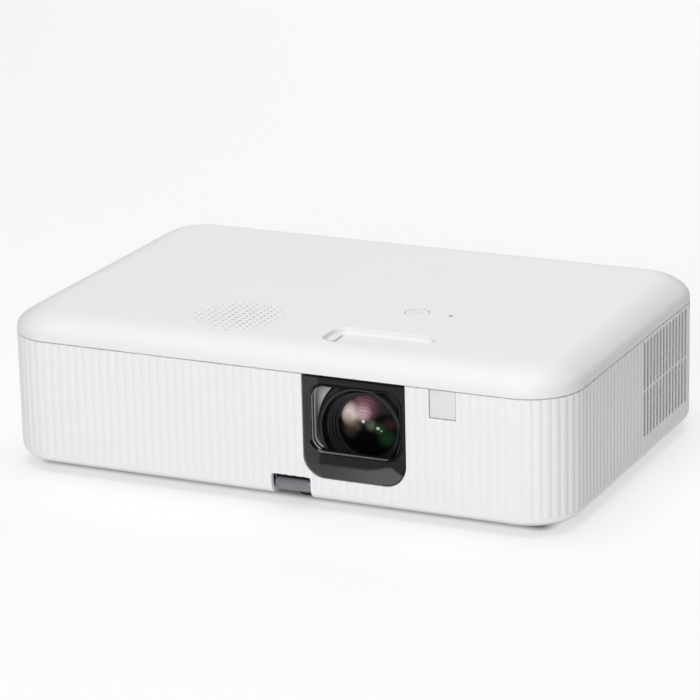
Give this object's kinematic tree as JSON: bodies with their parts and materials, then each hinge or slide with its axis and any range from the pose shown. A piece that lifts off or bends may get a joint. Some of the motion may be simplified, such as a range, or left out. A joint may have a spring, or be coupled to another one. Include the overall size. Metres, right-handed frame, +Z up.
{
  "type": "home projector",
  "caption": "Flat white home projector with a smooth lid, fluted sides, recessed lens window with sliding door, and an adjustable front foot.",
  "frame": {"origin": "centre of the footprint, on the plane the feet stand on", "axes": "+X along the front to the lens side, +Y from the lens front to the back panel, +Z up"},
  "size_m": [0.32, 0.211, 0.0865],
  "materials": {
    "white_case": "fine matte moulded white",
    "white_inner": "matte moulded",
    "black_gloss": "gloss moulded black",
    "black_matte": "matte moulded black",
    "grey_shroud": "matte mid grey",
    "grey_lever": "matte slate grey",
    "remote_grey": "smooth tinted cover",
    "light_pipe": "smoked light pipe",
    "rubber_foot": "moulded rubber",
    "filter_foam": "open-cell foam",
    "cone_paper": "pressed paper",
    "steel_screw": "zinc plated",
    "brass_insert": "turned",
    "board_green": "solder mask",
    "board_brown": "paper laminate",
    "socket_metal": "tinned",
    "engine_resin": "glass-filled resin",
    "lens_glass": "coated",
    "clear_glass": "polished",
    "panel_glass": "panel in a frame",
    "mirror_coat": "coated"
  },
  "bodies": {
    "case": {"lower_case": "white_case", "upper_case": "white_case", "lens_bezel": "black_gloss", "lens_shroud": "grey_shroud", "door_track": "black_matte", "remote_window": "remote_grey", "status_light": "light_pipe", "rear_panel": "white_case", "exhaust_louver": "black_matte", "lamp_cover": "white_case", "rear_feet": "rubber_foot", "foot_guide": "white_inner", "lever_pin": "steel_screw", "case_screws": "steel_screw", "mount_inserts": "brass_insert", "speaker_frame": "black_matte", "speaker_cone": "cone_paper", "key_board": "board_green", "key_switch": "black_matte", "main_board": "board_green", "board_chips": "black_matte", "hdmi_port": "socket_metal", "usb_port": "socket_metal", "service_port": "socket_metal", "ac_inlet": "black_gloss", "ac_pins": "socket_metal", "power_board": "board_brown", "power_parts": "black_matte", "engine_tray": "engine_resin", "engine_lid": "engine_resin", "prism_cube": "clear_glass", "lcd_panels": "panel_glass", "fold_mirrors": "mirror_coat", "integrator_lenses": "clear_glass", "lamp_housing": "black_matte", "lamp_reflector": "mirror_coat", "lamp_burner": "clear_glass", "fan_frame": "black_matte", "blower_housing": "black_matte", "lens_tube": "black_matte", "tube_screws": "steel_screw", "rear_lens": "lens_glass", "receiver_board": "board_green"},
    "power_button": {"power_button": "white_case"},
    "lens_door": {"lens_door": "black_matte", "door_slider": "white_case"},
    "focus_ring": {"focus_ring": "black_matte"},
    "focus_barrel": {"lens_barrel": "black_matte", "front_lens": "lens_glass", "lens_retainer": "black_matte"},
    "front_foot": {"foot_post": "black_matte", "foot_pad": "rubber_foot"},
    "foot_lever": {"foot_lever": "grey_lever"},
    "exhaust_fan": {"fan_rotor": "black_matte"},
    "intake_blower": {"blower_rotor": "black_matte"},
    "air_filter": {"filter_cover": "white_case", "filter_frame": "black_matte", "filter_foam": "filter_foam"}
  },
  "joints": [
    {"name": "power_button_press", "type": "slide", "parent": "case", "child": "power_button", "axis": [0, 0, -1], "range_m": [0, 0.0008], "stiffness_N_per_m": 500},
    {"name": "lens_door_slide", "type": "slide", "parent": "case", "child": "lens_door", "axis": [1, 0, 0], "range_m": [0, 0.0496]},
    {"name": "focus_turn", "type": "hinge", "parent": "case", "child": "focus_ring", "pos_m": [0.0463, -0.085, 0.0425], "axis": [0, -1, 0], "range_deg": [-35, 35]},
    {"name": "focus_travel", "type": "slide", "parent": "case", "child": "focus_barrel", "axis": [0, -1, 0], "range_m": [-0.0015, 0.0015]},
    {"name": "front_foot_travel", "type": "slide", "parent": "case", "child": "front_foot", "axis": [0, 0, -1], "range_m": [0, 0.022]},
    {"name": "foot_lever_squeeze", "type": "hinge", "parent": "case", "child": "foot_lever", "pos_m": [0.0102, -0.0925, 0.0215], "axis": [-1, 0, 0], "range_deg": [0, 6], "stiffness_Nm_per_rad": 0.6},
    {"name": "exhaust_fan_spin", "type": "hinge", "parent": "case", "child": "exhaust_fan", "pos_m": [0.141, 0.045, 0.0445], "axis": [1, 0, 0], "continuous": true},
    {"name": "intake_blower_spin", "type": "hinge", "parent": "case", "child": "intake_blower", "pos_m": [-0.126, -0.003, 0.0225], "axis": [0, 0, 1], "continuous": true},
    {"name": "air_filter_pull", "type": "slide", "parent": "case", "child": "air_filter", "axis": [-1, 0, 0], "range_m": [0, 0.03]}
  ],
  "couplings": [
    {"joint": "focus_turn", "follows": "focus_travel", "rad_per_m": 407.24}
  ]
}
